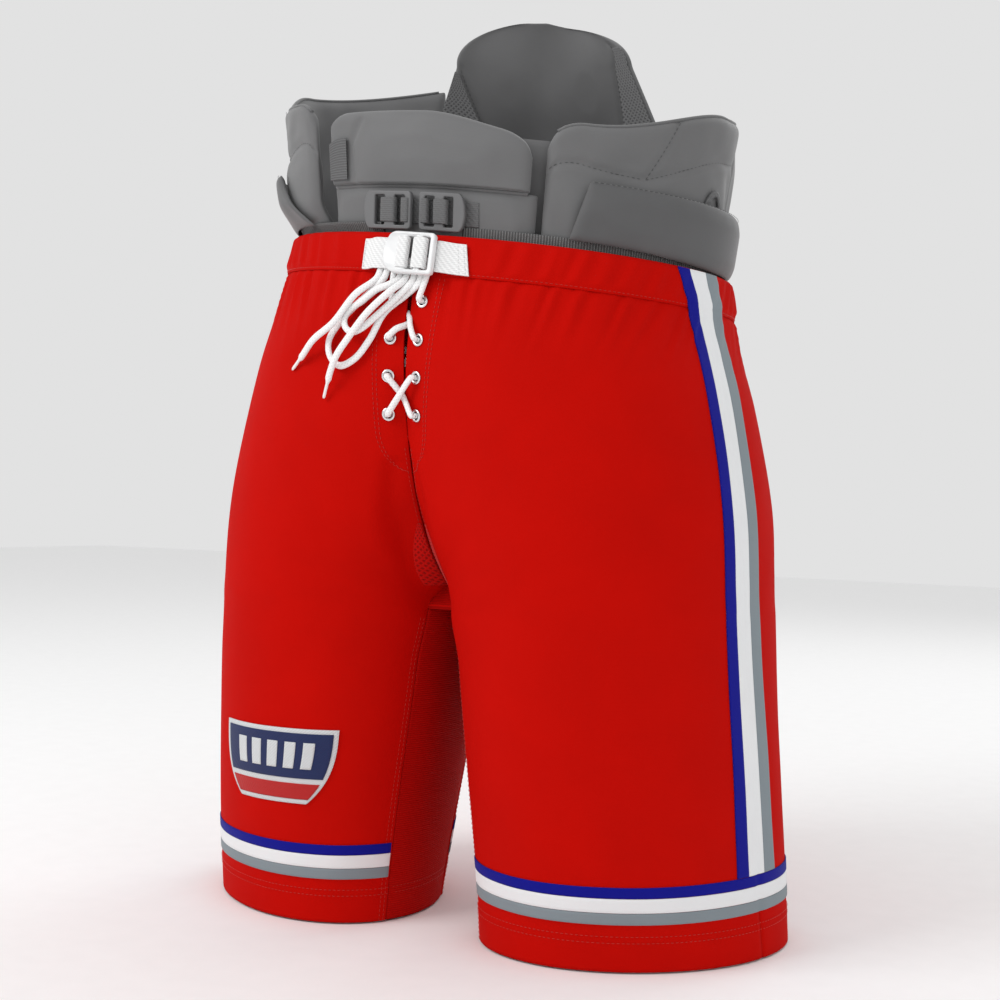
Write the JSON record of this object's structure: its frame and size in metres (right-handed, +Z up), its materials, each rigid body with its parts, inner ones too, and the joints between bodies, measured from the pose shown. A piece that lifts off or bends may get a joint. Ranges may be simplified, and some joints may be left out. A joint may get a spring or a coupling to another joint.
{
  "type": "hockey pants",
  "caption": "Ice hockey pants: striped fabric shell with laced fly and belt over padded inner pants with kidney, spine and hip pads.",
  "frame": {"origin": "centre of the bounding box at the level of the leg hems, without the free lace ends", "axes": "+X to the wearer's left, +Y to the back, +Z up"},
  "size_m": [0.5144, 0.3477, 0.781],
  "materials": {
    "shell_red": "matte woven polyester",
    "shell_mesh": "ribbed knit mesh",
    "stripe_blue": "matte knit",
    "stripe_white": "matte knit",
    "stripe_grey": "matte knit",
    "patch_navy": "embroidered twill",
    "elastic_white": "woven elastic",
    "eyelet_metal": "polished nickel",
    "lace_white": "waxed braided polyester",
    "aglet_white": "glossy",
    "webbing_white": "woven webbing",
    "buckle_white": "satin moulded plastic",
    "pad_grey": "matte nylon over foam",
    "pad_dark": "matte nylon over foam",
    "webbing_grey": "woven webbing",
    "buckle_grey": "satin moulded plastic",
    "guard_plastic": "moulded polyethylene"
  },
  "bodies": {
    "garment": {"shell_front_left": "shell_red", "shell_back_left": "shell_red", "inner_thigh_panel_left": "shell_mesh", "side_stripe_blue_left": "stripe_blue", "hem_stripe_blue_left": "stripe_blue", "side_stripe_white_left": "stripe_white", "hem_stripe_white_left": "stripe_white", "side_stripe_grey_left": "stripe_grey", "hem_stripe_grey_left": "stripe_grey", "fly_facing_left": "shell_red", "eyelet_left_1": "eyelet_metal", "eyelet_left_2": "eyelet_metal", "eyelet_left_3": "eyelet_metal", "eyelet_left_4": "eyelet_metal", "kidney_pad_left": "pad_grey", "liner_left": "pad_dark", "thigh_guard_left": "guard_plastic", "shell_front_right": "shell_red", "shell_back_right": "shell_red", "inner_thigh_panel_right": "shell_mesh", "side_stripe_blue_right": "stripe_blue", "hem_stripe_blue_right": "stripe_blue", "side_stripe_white_right": "stripe_white", "hem_stripe_white_right": "stripe_white", "side_stripe_grey_right": "stripe_grey", "hem_stripe_grey_right": "stripe_grey", "fly_facing_right": "shell_red", "eyelet_right_1": "eyelet_metal", "eyelet_right_2": "eyelet_metal", "eyelet_right_3": "eyelet_metal", "eyelet_right_4": "eyelet_metal", "kidney_pad_right": "pad_grey", "liner_right": "pad_dark", "thigh_guard_right": "guard_plastic", "crotch_gusset": "shell_mesh", "waistband_casing": "shell_red", "waistband_elastic": "elastic_white", "thigh_patch": "patch_navy", "fly_placket": "shell_red", "lace_laced": "lace_white", "lace_knot": "lace_white", "lace_loop_long": "lace_white", "lace_loop_short": "lace_white", "lace_end_left": "lace_white", "lace_end_right": "lace_white", "aglet_left": "aglet_white", "aglet_right": "aglet_white", "belt_strap_left": "webbing_white", "belt_strap_right": "webbing_white", "abdomen_band": "pad_grey", "back_panel": "pad_grey", "inner_webbing": "webbing_grey"},
    "spine": {"spine_pad": "pad_grey"},
    "abdomen": {"abdomen_pad": "pad_grey"},
    "wing_left": {"hip_wing_left": "pad_dark"},
    "wing_right": {"hip_wing_right": "pad_dark"},
    "belt_buckle": {"belt_buckle": "buckle_white", "belt_webbing_loop": "webbing_white"},
    "inner_buckle_left": {"inner_buckle_left": "buckle_grey"},
    "inner_buckle_right": {"inner_buckle_right": "buckle_grey"}
  },
  "joints": [
    {"name": "spine_pad_fold", "type": "hinge", "parent": "garment", "child": "spine", "pos_m": [-0.01, 0.1451, 0.673], "axis": [-0.994, 0, 0.1093], "range_deg": [0, 35]},
    {"name": "abdomen_pad_fold", "type": "hinge", "parent": "garment", "child": "abdomen", "pos_m": [0, -0.142, 0.587], "axis": [0.994, 0, -0.1093], "range_deg": [0, 60]},
    {"name": "hip_wing_left_open", "type": "hinge", "parent": "garment", "child": "wing_left", "pos_m": [0.172, 0.0787, 0.56], "axis": [0, 0, 1], "range_deg": [0, 30]},
    {"name": "hip_wing_right_open", "type": "hinge", "parent": "garment", "child": "wing_right", "pos_m": [-0.172, 0.0787, 0.59], "axis": [0, 0, -1], "range_deg": [0, 30]},
    {"name": "belt_buckle_tilt", "type": "hinge", "parent": "garment", "child": "belt_buckle", "pos_m": [0.025, -0.156, 0.5303], "axis": [0, 0.1908, 0.9816], "range_deg": [0, 50]},
    {"name": "inner_buckle_left_tilt", "type": "hinge", "parent": "garment", "child": "inner_buckle_left", "pos_m": [0.001, -0.1389, 0.566], "axis": [0, 0, -1], "range_deg": [0, 40]},
    {"name": "inner_buckle_right_tilt", "type": "hinge", "parent": "garment", "child": "inner_buckle_right", "pos_m": [-0.006, -0.1389, 0.5665], "axis": [0, 0, 1], "range_deg": [0, 40]}
  ]
}
